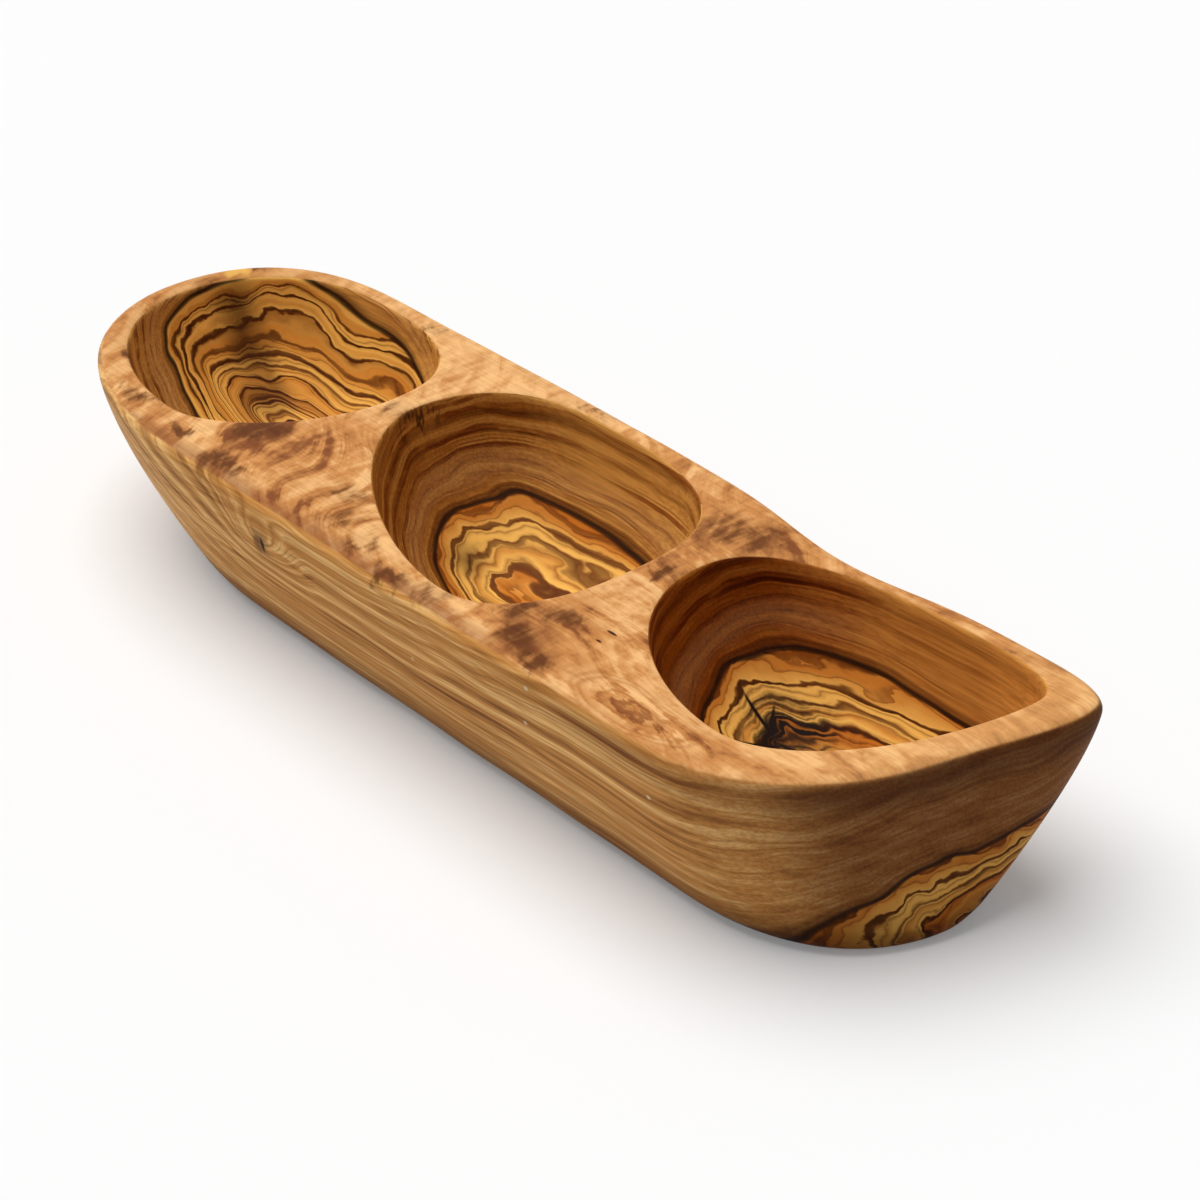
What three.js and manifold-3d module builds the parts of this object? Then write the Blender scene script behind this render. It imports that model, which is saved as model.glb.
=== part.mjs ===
// Divided serving tray: one block of olive wood, carved to a round nose and a blunt end,
// with three bowls hollowed out of its top. Millimetres, +Z up, origin under the middle of the block.
// The nose is at -X, the blunt end at +X, and -Y is the front.
import * as THREE from "three";
import Module from "manifold-3d";

// The block, over everything
const LENGTH = 322;
const WIDTH = 100;
const HEIGHT = 50;

// Plan of the top edge: each corner is a quarter oval that runs so far along the block
const NOSE_FRONT_RUN = 80;
const NOSE_BACK_RUN = 52;
const END_FRONT_RUN = 57;
const END_BACK_RUN = 20;
const NOSE_TIP_ACROSS = 6;
const END_TIP_FROM_BACK = 9;

// The back edge draws in towards the blunt end, with a shallow waist beside the last divider,
// and the blunt end is very slightly hollow in plan
const BACK_DRAW_IN = 3.5;
const WAIST_DEPTH = 5.5;
const WAIST_ALONG = 76;
const WAIST_SPAN = 28;
const END_HOLLOW_DEPTH = 3;
const END_HOLLOW_ACROSS = 2;
const END_HOLLOW_SPAN = 20;

// The foot is smaller than the top all round, and the sides curve out to meet the top edge
const FOOT_NOSE_INSET = 31;
const FOOT_END_INSET = 7;
const FOOT_SIDE_INSET = 14.5;
const FOOT_NOSE_RUN = 74;
const FOOT_END_RUN = 46;
const FOOT_NOSE_TIP_ACROSS = 4;
const FOOT_END_TIP_ACROSS = 2;

// Edges worn round by hand sanding
const TOP_EDGE_ROUND = 3;
const FOOT_EDGE_ROUND = 5;
const LIP_ROUND = 1.6;

// Wood left around and under the bowls
const FLOOR = 9;
const NOSE_RIM = 8.5;
const END_RIM = 12.5;
const BACK_RIM = 7.2;
const NOSE_BOWL_FRONT_RIM = 13.7;
const MIDDLE_BOWL_FRONT_RIM = 9.7;
const END_BOWL_FRONT_RIM = 17.7;

// The two dividers, at their narrowest
const NOSE_DIVIDER = 9;
const NOSE_DIVIDER_ALONG = -58;
const END_DIVIDER = 11;
const END_DIVIDER_ALONG = 51;

// How full the side curves are: 1 is a straight slope from top edge to foot, more bellies out
const SIDE_BELLY = 1.45;
const NOSE_BELLY = 1.1;
const END_BELLY = 1.4;

// Facets
const QUARTER_STEPS = 12;
const RUN_STEPS = 10;
const WALL_STEPS = 8;
const ROUND_STEPS = 4;
const BOWL_STEPS = 12;

const LEFT = -LENGTH / 2;
const RIGHT = LENGTH / 2;
const FRONT = -WIDTH / 2;
const BACK = WIDTH / 2;
const QUARTER_TURN = Math.PI / 2;

const { lerp, smoothstep } = THREE.MathUtils;
const wasm = await Module();
wasm.setup();

// A closed outline seen from above, anticlockwise from its left tip: four quarter ovals,
// with a straight run between them along the front and the back.
// Each point also says which end it belongs to, and its share: 0 on the runs, 1 at the tips.
function outline({ left, right, front, back, fullness, runSteps = 0 }) {
  const points = [];
  const addQuarter = (edge, x, tip, power, leavesTip, end) => {
    for (let step = 0; step < QUARTER_STEPS; step++) {
      const turn = (QUARTER_TURN * (leavesTip ? step : QUARTER_STEPS - step)) / QUARTER_STEPS;
      points.push({
        x: lerp(x, tip.at, Math.cos(turn) ** (2 / power)),
        y: lerp(tip.across, edge.at, Math.sin(turn) ** (2 / power)),
        end,
        share: Math.cos(turn) ** 2,
      });
    }
  };
  const addRun = (edge, from, to) => {
    for (let step = 0; step < runSteps; step++) {
      points.push({ x: lerp(from, to, step / runSteps), y: edge.at, end: "side", share: 0 });
    }
  };
  addQuarter(front, front.from, left, fullness.frontLeft, true, "nose");
  addRun(front, front.from, front.to);
  addQuarter(front, front.to, right, fullness.frontRight, false, "blunt");
  addQuarter(back, back.to, right, fullness.backRight, true, "blunt");
  addRun(back, back.to, back.from);
  addQuarter(back, back.from, left, fullness.backLeft, false, "nose");
  return points;
}

// The outline drawn in evenly by a distance, along its own normals.
function drawnIn(points, distance) {
  return points.map((point, i) => {
    const before = points[(i + points.length - 1) % points.length];
    const after = points[(i + 1) % points.length];
    const tangent = new THREE.Vector2(after.x - before.x, after.y - before.y).normalize();
    return { x: point.x - tangent.y * distance, y: point.y + tangent.x * distance };
  });
}

const ringAt = (points, height) => points.map(({ x, y }) => new THREE.Vector3(x, y, height));

// A closed surface through rings of equal length, from the lowest up, with a point closing each end.
function loft(rings, lowest, highest) {
  const around = rings[0].length;
  const vertices = [...rings.flat(), lowest, highest];
  const low = vertices.length - 2;
  const high = vertices.length - 1;
  const last = (rings.length - 1) * around;
  const faces = [];
  for (let j = 0; j < around; j++) {
    const next = (j + 1) % around;
    faces.push(low, next, j, high, last + j, last + next);
    for (let ring = 0; ring < last; ring += around) {
      const above = ring + around;
      faces.push(ring + j, ring + next, above + next, ring + j, above + next, above + j);
    }
  }
  return new THREE.BufferGeometry().setFromPoints(vertices).setIndex(faces);
}

function solidOf(geometry) {
  const vertProperties = geometry.getAttribute("position").array;
  const triVerts = new Uint32Array(geometry.index.array);
  return new wasm.Manifold(new wasm.Mesh({ numProp: 3, vertProperties, triVerts }));
}

function geometryOf(solid) {
  const { vertProperties, triVerts } = solid.getMesh();
  const geometry = new THREE.BufferGeometry();
  geometry.setAttribute("position", new THREE.BufferAttribute(vertProperties, 3));
  geometry.setIndex(new THREE.BufferAttribute(triVerts, 1));
  geometry.computeVertexNormals();
  return geometry;
}

// The steps of a rounded edge from upright to flat: how far it has risen and how far it has drawn in.
function roundSteps(radius) {
  return Array.from({ length: ROUND_STEPS + 1 }, (_, step) => {
    const turn = (QUARTER_TURN * step) / ROUND_STEPS;
    return { rise: radius * Math.sin(turn), inset: radius * (1 - Math.cos(turn)) };
  });
}

// How far the back edge lies inside the block's full width.
function backDrawIn(along) {
  const taper = BACK_DRAW_IN * smoothstep(along, NOSE_DIVIDER_ALONG, RIGHT);
  const waist = WAIST_DEPTH * Math.exp(-(((along - WAIST_ALONG) / WAIST_SPAN) ** 2));
  return taper + waist;
}

function endHollow(across) {
  return END_HOLLOW_DEPTH * Math.exp(-(((across - END_HOLLOW_ACROSS) / END_HOLLOW_SPAN) ** 2));
}

function topOutline() {
  const points = outline({
    left: { at: LEFT, across: NOSE_TIP_ACROSS },
    right: { at: RIGHT, across: BACK - END_TIP_FROM_BACK },
    front: { at: FRONT, from: LEFT + NOSE_FRONT_RUN, to: RIGHT - END_FRONT_RUN },
    back: { at: BACK, from: LEFT + NOSE_BACK_RUN, to: RIGHT - END_BACK_RUN },
    fullness: { frontLeft: 2, frontRight: 2.1, backRight: 2.2, backLeft: 2.45 },
    runSteps: RUN_STEPS,
  });
  return points.map((point) => {
    const backShare = smoothstep(point.y, NOSE_TIP_ACROSS, BACK);
    const endShare = point.end === "blunt" ? point.share : 0;
    const x = point.x - endShare * endHollow(point.y);
    const y = point.y - backShare * backDrawIn(point.x);
    return { ...point, x, y };
  });
}

function footOutline() {
  const left = LEFT + FOOT_NOSE_INSET;
  const right = RIGHT - FOOT_END_INSET;
  const run = { from: left + FOOT_NOSE_RUN, to: right - FOOT_END_RUN };
  return outline({
    left: { at: left, across: FOOT_NOSE_TIP_ACROSS },
    right: { at: right, across: FOOT_END_TIP_ACROSS },
    front: { at: FRONT + FOOT_SIDE_INSET, ...run },
    back: { at: BACK - FOOT_SIDE_INSET, ...run },
    fullness: { frontLeft: 2, frontRight: 2.05, backRight: 1.8, backLeft: 2 },
    runSteps: RUN_STEPS,
  });
}

// The block before it is hollowed: rings from the foot to the top, with both edges rounded.
function blockGeometry() {
  const top = topOutline();
  const foot = footOutline();
  const belly = { nose: NOSE_BELLY, blunt: END_BELLY, side: SIDE_BELLY };
  const edgeHeight = HEIGHT - TOP_EDGE_ROUND;
  const sideAt = (height, inset) => {
    const drop = Math.max(0, 1 - height / edgeHeight);
    const side = top.map((point, i) => {
      const towardsFoot = drop ** lerp(SIDE_BELLY, belly[point.end], point.share);
      return { x: lerp(point.x, foot[i].x, towardsFoot), y: lerp(point.y, foot[i].y, towardsFoot) };
    });
    return ringAt(drawnIn(side, inset), height);
  };
  const rings = [];
  for (const { rise, inset } of roundSteps(FOOT_EDGE_ROUND).reverse()) {
    rings.push(sideAt(FOOT_EDGE_ROUND - rise, inset));
  }
  for (let step = 1; step < WALL_STEPS; step++) {
    rings.push(sideAt(lerp(FOOT_EDGE_ROUND, edgeHeight, step / WALL_STEPS), 0));
  }
  for (const { rise, inset } of roundSteps(TOP_EDGE_ROUND)) {
    rings.push(sideAt(edgeHeight + rise, inset));
  }
  return loft(rings, new THREE.Vector3(0, 0, 0), new THREE.Vector3(0, 0, HEIGHT));
}

// Each bowl fills the space that its rims and dividers leave. Its tips and its deepest point
// are shares of that space, from its left and from its front.
const BOWLS = [
  {
    left: LEFT + NOSE_RIM,
    right: NOSE_DIVIDER_ALONG - NOSE_DIVIDER / 2,
    front: FRONT + NOSE_BOWL_FRONT_RIM,
    tips: { left: 0.53, right: 0.56, front: 0.63, back: 0.45 },
    fullness: { frontLeft: 2, frontRight: 1.75, backRight: 2.7, backLeft: 2.2 },
    deepest: { along: 0.56, across: 0.5 },
    roundness: 1.75,
  },
  {
    left: NOSE_DIVIDER_ALONG + NOSE_DIVIDER / 2,
    right: END_DIVIDER_ALONG - END_DIVIDER / 2,
    front: FRONT + MIDDLE_BOWL_FRONT_RIM,
    tips: { left: 0.61, right: 0.48, front: 0.76, back: 0.38 },
    fullness: { frontLeft: 1.6, frontRight: 2.4, backRight: 3, backLeft: 2.5 },
    deepest: { along: 0.52, across: 0.49 },
    roundness: 2,
  },
  {
    left: END_DIVIDER_ALONG + END_DIVIDER / 2,
    right: RIGHT - END_RIM,
    front: FRONT + END_BOWL_FRONT_RIM,
    tips: { left: 0.62, right: 0.88, front: 0.59, back: 0.74 },
    fullness: { frontLeft: 1.9, frontRight: 1.8, backRight: 2.6, backLeft: 2.5 },
    deepest: { along: 0.52, across: 0.5 },
    roundness: 2,
  },
];

// What is cut out for one bowl: its rim flares a little at the lip, and its wall rounds into its floor.
function bowlGeometry({ left, right, front, tips, fullness, deepest, roundness }) {
  const backTip = lerp(left, right, tips.back);
  const frontTip = lerp(left, right, tips.front);
  const back = BACK - backDrawIn(backTip) - BACK_RIM;
  const rim = outline({
    left: { at: left, across: lerp(front, back, tips.left) },
    right: { at: right, across: lerp(front, back, tips.right) },
    front: { at: front, from: frontTip, to: frontTip },
    back: { at: back, from: backTip, to: backTip },
    fullness,
  });
  const bottom = { x: lerp(left, right, deepest.along), y: lerp(front, back, deepest.across) };
  const wallTop = HEIGHT - LIP_ROUND;
  const rings = [];
  for (let step = 1; step < BOWL_STEPS; step++) {
    const turn = (QUARTER_TURN * step) / BOWL_STEPS;
    const reach = Math.sin(turn) ** (2 / roundness);
    const height = lerp(wallTop, FLOOR, Math.cos(turn) ** (2 / roundness));
    const wall = rim.map(({ x, y }) => ({ x: lerp(bottom.x, x, reach), y: lerp(bottom.y, y, reach) }));
    rings.push(ringAt(wall, height));
  }
  for (const { rise, inset } of roundSteps(LIP_ROUND)) {
    rings.push(ringAt(drawnIn(rim, -inset), wallTop + rise));
  }
  const clearOfTop = HEIGHT + LIP_ROUND;
  rings.push(ringAt(rings.at(-1), clearOfTop));
  const lowest = new THREE.Vector3(bottom.x, bottom.y, FLOOR);
  return loft(rings, lowest, lowest.clone().setZ(clearOfTop));
}

function trayGeometry() {
  const block = solidOf(blockGeometry());
  const hollowed = BOWLS.reduce((solid, bowl) => solid.subtract(solidOf(bowlGeometry(bowl))), block);
  return geometryOf(hollowed);
}

const oliveWood = new THREE.MeshStandardMaterial({ color: 0xa9692f, roughness: 0.45, metalness: 0 });

const block = new THREE.Mesh(trayGeometry(), oliveWood);
block.name = "tray_block";

const tray = new THREE.Group();
tray.add(block);

export default tray;
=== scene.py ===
# %% [markdown]
# A divided serving tray, carved from one block of olive wood: a round nose, a blunt end and three
# bowls in a row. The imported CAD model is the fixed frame. It gives the block's size and place, and
# everything below is modelled around it in metres, with +X towards the blunt end and -Y the front.

# %% Load the frame
import math

import bmesh
import bpy
import numpy as np
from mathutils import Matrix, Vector, noise


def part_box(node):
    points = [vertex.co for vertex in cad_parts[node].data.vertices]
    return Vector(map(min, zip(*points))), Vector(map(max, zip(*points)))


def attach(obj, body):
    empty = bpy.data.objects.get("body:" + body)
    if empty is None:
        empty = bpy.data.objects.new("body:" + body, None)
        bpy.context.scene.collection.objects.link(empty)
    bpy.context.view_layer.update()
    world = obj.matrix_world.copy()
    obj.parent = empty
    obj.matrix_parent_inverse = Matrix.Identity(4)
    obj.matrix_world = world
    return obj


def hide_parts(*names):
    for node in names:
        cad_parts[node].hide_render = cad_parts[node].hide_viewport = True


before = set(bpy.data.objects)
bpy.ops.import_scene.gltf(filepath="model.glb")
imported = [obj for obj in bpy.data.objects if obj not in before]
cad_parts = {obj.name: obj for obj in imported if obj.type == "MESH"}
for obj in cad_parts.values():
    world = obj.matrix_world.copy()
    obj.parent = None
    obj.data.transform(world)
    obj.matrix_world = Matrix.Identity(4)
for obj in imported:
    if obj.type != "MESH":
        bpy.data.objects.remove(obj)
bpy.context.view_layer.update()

# %% [markdown]
# The block's own corners give its length, width and height. What a maker would mark out on it, such
# as rims, dividers and rounded edges, is written in millimetres, because those are the sizes that
# someone carving the tray would think in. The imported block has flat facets, which cut its blunt end
# a hair short, so its length is taken to the nearest millimetre.

# %% The block's size
MM = 0.001
low_corner, high_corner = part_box("tray_block")
LEFT = low_corner.x / MM
RIGHT = LEFT + round((high_corner.x - low_corner.x) / MM)
FRONT = low_corner.y / MM
BACK = high_corner.y / MM
HEIGHT = high_corner.z / MM
print("block", round(RIGHT - LEFT), "long,", round(BACK - FRONT), "wide,", round(HEIGHT), "high")

# %% [markdown]
# Seen from above, the top edge and the foot are both four quarter ovals joined by straight runs. A
# station from 0 to 6 walks round such a plan from the nose: front corner, front run, front corner of
# the blunt end, its back corner, back run and back corner. The same station on the top edge and on
# the foot is the same place on the block's side, which is what lets the side sweep between them.

# %% Walking round a plan
QUARTER_TURN = math.pi / 2
SECTIONS = 6
FRONT_RUN = 1
BACK_RUN = 4


def lerp(start, end, share):
    return start + (end - start) * share


def smooth(value, low, high):
    share = min(1, max(0, (value - low) / (high - low)))
    return share * share * (3 - 2 * share)


def plan_point(plan, station):
    """Where a station lies, which end it belongs to, and its share of that end: 1 at the very tip."""
    section, part = divmod(station % SECTIONS, 1)
    side = plan["front"] if section < SECTIONS / 2 else plan["back"]
    if section in (FRONT_RUN, BACK_RUN):
        walked = part if section == FRONT_RUN else 1 - part
        return lerp(side["from"], side["to"], walked), side["at"], "side", 0
    nose = section in (0, SECTIONS - 1)
    tip = plan["left"] if nose else plan["right"]
    turn = QUARTER_TURN * (part if section in (0, SECTIONS / 2) else 1 - part)
    power = 2 / plan["fullness"][int(section)]
    along = lerp(side["from"] if nose else side["to"], tip["at"], math.cos(turn) ** power)
    across = lerp(tip["across"], side["at"], math.sin(turn) ** power)
    return along, across, "nose" if nose else "blunt", math.cos(turn) ** 2


def plan_of(left, right, front, back, fullness):
    """A plan from its tips, as (at, across), and its sides, as (at, from, to). Fullness 2 is an ellipse."""
    tip = lambda values: dict(zip(("at", "across"), values))
    side = lambda values: dict(zip(("at", "from", "to"), values))
    corners = [section for section in range(SECTIONS) if section not in (FRONT_RUN, BACK_RUN)]
    plan = {"left": tip(left), "right": tip(right), "front": side(front), "back": side(back)}
    plan["fullness"] = dict(zip(corners, fullness))
    return plan


print("a plan has", SECTIONS, "sections, and two of them are straight:", FRONT_RUN, "and", BACK_RUN)

# %% [markdown]
# The top edge is longer than the foot at both ends and wider on both sides. Its back edge tapers in
# towards the blunt end, with a shallow waist beside the last divider, and the blunt end is very
# slightly hollow in plan. Edges shaped by hand wander like this, and smooth formulas draw the bends
# so that no corner shows in the light.

# %% The top edge and the foot
NOSE_DIVIDER_ALONG = -58
END_DIVIDER_ALONG = 51
NOSE_TIP_ACROSS = 6
END_TIP_INSET = 9
NOSE_CURVE_FRONT = 80
NOSE_CURVE_BACK = 52
END_CURVE_FRONT = 57
END_CURVE_BACK = 20
FOOT_NOSE = LEFT + 31
FOOT_END = RIGHT - 7
FOOT_NOSE_ACROSS = 4
FOOT_END_ACROSS = 2
FOOT_SIDE_INSET = 14.5
FOOT_NOSE_CURVE = 74
FOOT_END_CURVE = 46
TOP_PLAN = plan_of(
    left=(LEFT, NOSE_TIP_ACROSS), right=(RIGHT, BACK - END_TIP_INSET),
    front=(FRONT, LEFT + NOSE_CURVE_FRONT, RIGHT - END_CURVE_FRONT),
    back=(BACK, LEFT + NOSE_CURVE_BACK, RIGHT - END_CURVE_BACK),
    fullness=(2, 2.1, 2.2, 2.45),
)
FOOT_PLAN = plan_of(
    left=(FOOT_NOSE, FOOT_NOSE_ACROSS), right=(FOOT_END, FOOT_END_ACROSS),
    front=(FRONT + FOOT_SIDE_INSET, FOOT_NOSE + FOOT_NOSE_CURVE, FOOT_END - FOOT_END_CURVE),
    back=(BACK - FOOT_SIDE_INSET, FOOT_NOSE + FOOT_NOSE_CURVE, FOOT_END - FOOT_END_CURVE),
    fullness=(2, 2.05, 1.8, 2),
)
BACK_TAPER = 3.5
WAIST_DEPTH = 5.5
WAIST_ALONG = 76
WAIST_SPAN = 28
HOLLOW_DEPTH = 3
HOLLOW_ACROSS = 2
HOLLOW_SPAN = 20


def hump(value, middle, span):
    """A round hump: 1 in the middle, and fading out over the span to both sides."""
    return math.exp(-(((value - middle) / span) ** 2))


def back_draw_in(along):
    taper = BACK_TAPER * smooth(along, NOSE_DIVIDER_ALONG, RIGHT)
    return taper + WAIST_DEPTH * hump(along, WAIST_ALONG, WAIST_SPAN)


def top_point(station):
    x, y, end, share = plan_point(TOP_PLAN, station)
    hollow = HOLLOW_DEPTH * hump(y, HOLLOW_ACROSS, HOLLOW_SPAN) if end == "blunt" else 0
    drawn = smooth(y, NOSE_TIP_ACROSS, BACK) * back_draw_in(x)
    return x - share * hollow, y - drawn, end, share


print("top edge starts at", top_point(0)[:2], "and the foot at", plan_point(FOOT_PLAN, 0)[:2])

# %% [markdown]
# The side of the block bellies out between the foot and the top edge, fuller along the sides than
# under the nose. Both edges are rounded by drawing the ring in along its own normals, in the way that
# sandpaper takes an edge off evenly all round.

# %% Rings around the side
TOP_EDGE_ROUND = 3
FOOT_EDGE_ROUND = 5
BELLY = {"side": 1.45, "nose": 1.1, "blunt": 1.4}
EDGE_HEIGHT = HEIGHT - TOP_EDGE_ROUND


def side_point(station, height):
    x, y, end, share = top_point(station)
    foot_x, foot_y = plan_point(FOOT_PLAN, station)[:2]
    drop = max(0, 1 - height / EDGE_HEIGHT)
    towards_foot = drop ** lerp(BELLY["side"], BELLY[end], share)
    return np.array((lerp(x, foot_x, towards_foot), lerp(y, foot_y, towards_foot)))


def side_ring(stations, height, inset=0):
    """One ring round the block, in metres."""
    ring = np.array([side_point(station, height) for station in stations])
    tangent = np.roll(ring, -1, axis=0) - np.roll(ring, 1, axis=0)
    tangent /= np.linalg.norm(tangent, axis=1)[:, None]
    ring += np.stack((-tangent[:, 1], tangent[:, 0]), axis=1) * inset
    return [Vector((x, y, height)) * MM for x, y in ring]


print("side at half height, front:", side_point(FRONT_RUN, HEIGHT / 2).round(1))

# %% [markdown]
# The dividers split the top into three zones, one for each bowl. Each zone's stretch of the top edge
# gets its own count of evenly spaced stations, so that a divider always ends on a station and the
# three zones can be welded to the side later, vertex to vertex.

# %% Stations for the three zones of the top
NOSE_STEPS = 42
MIDDLE_STEPS = 16
END_STEPS = 46
WALK_SAMPLES = 400


def run_station(side, section, along):
    run = TOP_PLAN[side]
    share = (along - run["from"]) / (run["to"] - run["from"])
    return section + (share if side == "front" else 1 - share)


def even_stations(start, stop, count):
    """Stations the same distance apart along the top edge, without the last one."""
    fine = np.linspace(start, stop, WALK_SAMPLES)
    points = np.array([top_point(station)[:2] for station in fine])
    walked = np.concatenate(([0], np.cumsum(np.linalg.norm(np.diff(points, axis=0), axis=1))))
    return list(np.interp(np.linspace(0, walked[-1], count, endpoint=False), walked, fine))


nose_front = run_station("front", FRONT_RUN, NOSE_DIVIDER_ALONG)
end_front = run_station("front", FRONT_RUN, END_DIVIDER_ALONG)
end_back = run_station("back", BACK_RUN, END_DIVIDER_ALONG)
nose_back = run_station("back", BACK_RUN, NOSE_DIVIDER_ALONG)
stations = even_stations(nose_front, end_front, MIDDLE_STEPS)
stations += even_stations(end_front, end_back, END_STEPS)
stations += even_stations(end_back, nose_back, MIDDLE_STEPS)
stations += even_stations(nose_back, nose_front + SECTIONS, NOSE_STEPS)
top_ring = side_ring(stations, HEIGHT, TOP_EDGE_ROUND)
print(len(stations), "stations round the block")

# %% [markdown]
# The mesh starts as one circle of vertices, set on the top ring. Extruding its edges and setting the
# new ring on the next outline down is how the side grows, ring by ring, until the foot is closed with
# a grid fill. A lathe could not follow this outline, and a boolean would leave ragged triangles. Rings
# keep every face a quad, which a subdivision surface likes best.

# %% Helpers for growing rings
tray_mesh = bmesh.new()


def start_ring(points):
    ring = bmesh.ops.create_circle(tray_mesh, segments=len(points))["verts"]
    for vert, point in zip(ring, points):
        vert.co = point
    return ring


def ring_edges(ring):
    return [tray_mesh.edges.get((ring[i - 1], ring[i])) for i in range(len(ring))]


def grow_ring(ring, points):
    """Extrudes a ring's edges and sets the new ring on its points, in the same order."""
    made = bmesh.ops.extrude_edge_only(tray_mesh, edges=ring_edges(ring))["geom"]
    new = {item for item in made if isinstance(item, bmesh.types.BMVert)}
    grown = [next(e.other_vert(v) for e in v.link_edges if e.other_vert(v) in new) for v in ring]
    for vert, point in zip(grown, points):
        vert.co = point
    return grown


def close_ring(ring, start, wide):
    """Fills a ring with a grid of quads. Two opposite stretches of its edges, wide edges each, are rails."""
    edges = ring_edges(ring[start:] + ring[:start])
    deep = len(ring) // 2 - wide
    rails = edges[1:wide + 1] + edges[wide + deep + 1:2 * wide + deep + 1]
    bmesh.ops.grid_fill(tray_mesh, edges=rails)


print("an empty mesh, ready for rings:", len(tray_mesh.verts), "vertices")

# %% [markdown]
# The side is drawn from the top edge down. Three rings round the edge over, seven follow the belly, and
# four round off the foot. Rings lie closer together where the surface bends most.

# %% The outside of the block
TOP_EDGE_TURNS = (0.45, 0.8, 1)
SIDE_HEIGHTS = (0.94, 0.82, 0.68, 0.54, 0.4, 0.27, 0.16)
FOOT_EDGE_TURNS = (0, 0.4, 0.75, 1)
FOOT_GRID = 44

ring = start_ring(top_ring)
for turn in TOP_EDGE_TURNS:
    rise = TOP_EDGE_ROUND * math.cos(turn * QUARTER_TURN)
    inset = TOP_EDGE_ROUND * (1 - math.sin(turn * QUARTER_TURN))
    ring = grow_ring(ring, side_ring(stations, EDGE_HEIGHT + rise, inset))
for share in SIDE_HEIGHTS:
    ring = grow_ring(ring, side_ring(stations, share * EDGE_HEIGHT))
for turn in FOOT_EDGE_TURNS:
    rise = FOOT_EDGE_ROUND * (1 - math.sin(turn * QUARTER_TURN))
    inset = FOOT_EDGE_ROUND * (1 - math.cos(turn * QUARTER_TURN))
    ring = grow_ring(ring, side_ring(stations, rise, inset))
nose_corner = len(stations) - NOSE_STEPS // 2 + (len(stations) // 2 - FOOT_GRID) // 2
close_ring(ring, nose_corner % len(stations), FOOT_GRID)
print("outside of the block:", len(tray_mesh.faces), "faces")

# %% [markdown]
# Each bowl has its own rim, a little oval that leans one way or another as hand-cut bowls do. It is
# described by the rims that are left around it, the places where it touches them, as shares of its
# length and width, and how full each of its four corners is.

# %% The bowls' plans
BACK_RIM = 7.2
NOSE_RIM = 8.5
END_RIM = 12.5
NOSE_DIVIDER = 9
END_DIVIDER = 11
NOSE_FRONT_RIM = 13.7
MIDDLE_FRONT_RIM = 9.7
END_FRONT_RIM = 17.7


def bowl(left, right, front, tips, fullness, deepest, roundness):
    """A bowl in the space that its rims leave; tips and deepest point are shares of that space."""
    left_tip, right_tip, front_tip, back_tip = tips
    front_along = lerp(left, right, front_tip)
    back_along = lerp(left, right, back_tip)
    back = BACK - back_draw_in(back_along) - BACK_RIM
    plan = plan_of(
        left=(left, lerp(front, back, left_tip)), right=(right, lerp(front, back, right_tip)),
        front=(front, front_along, front_along), back=(back, back_along, back_along),
        fullness=fullness,
    )
    bottom = np.array((lerp(left, right, deepest[0]), lerp(front, back, deepest[1])))
    return {"plan": plan, "bottom": bottom, "roundness": roundness}


NOSE_BOWL = bowl(
    LEFT + NOSE_RIM, NOSE_DIVIDER_ALONG - NOSE_DIVIDER / 2, FRONT + NOSE_FRONT_RIM,
    tips=(0.53, 0.56, 0.63, 0.45), fullness=(2, 1.75, 2.7, 2.2), deepest=(0.56, 0.5), roundness=1.75,
)
MIDDLE_BOWL = bowl(
    NOSE_DIVIDER_ALONG + NOSE_DIVIDER / 2, END_DIVIDER_ALONG - END_DIVIDER / 2, FRONT + MIDDLE_FRONT_RIM,
    tips=(0.61, 0.48, 0.76, 0.38), fullness=(1.6, 2.4, 3, 2.5), deepest=(0.52, 0.49), roundness=2,
)
END_BOWL = bowl(
    END_DIVIDER_ALONG + END_DIVIDER / 2, RIGHT - END_RIM, FRONT + END_FRONT_RIM,
    tips=(0.62, 0.88, 0.59, 0.74), fullness=(1.9, 1.8, 2.6, 2.5), deepest=(0.52, 0.5), roundness=2,
)
for name, made in (("nose", NOSE_BOWL), ("middle", MIDDLE_BOWL), ("end", END_BOWL)):
    print(name, "bowl is deepest at", made["bottom"].round(1), "mm")

# %% [markdown]
# Rays from the bowl's deepest point tie every point of the rim to a point of the top around it, so
# the flat rim between them grows inwards in rows of quads. From the lip the wall is grown down in the
# same way: each ring is drawn in towards the deepest point as it sinks, along a rounded profile.

# %% Growing one bowl
BOWL_FLOOR = 9
LIP_ROUND = 1.6
LIP_TURNS = (0.45, 0.85)
BOWL_TURNS = (0.93, 0.85, 0.76, 0.67, 0.58, 0.49, 0.4, 0.31, 0.22)
RIM_ROWS = (0.3, 0.7, 1)
RIM_SAMPLES = 1200
WALL_TOP = HEIGHT - LIP_ROUND


def rim_towards(bowl_made, targets):
    """Points of the rim on the rays from the bowl's deepest point to the targets, in millimetres."""
    bottom = bowl_made["bottom"]
    walk = np.linspace(0, SECTIONS, RIM_SAMPLES, endpoint=False)
    arms = np.array([plan_point(bowl_made["plan"], station)[:2] for station in walk]) - bottom
    angles = np.arctan2(arms[:, 1], arms[:, 0])
    order = np.argsort(angles)
    reach = np.linalg.norm(arms, axis=1)[order]
    rays = np.array([(target.x / MM, target.y / MM) for target in targets]) - bottom
    ray_angles = np.arctan2(rays[:, 1], rays[:, 0])
    radius = np.interp(ray_angles, angles[order], reach, period=2 * math.pi)
    return bottom + np.stack((np.cos(ray_angles), np.sin(ray_angles)), axis=1) * radius[:, None]


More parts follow.
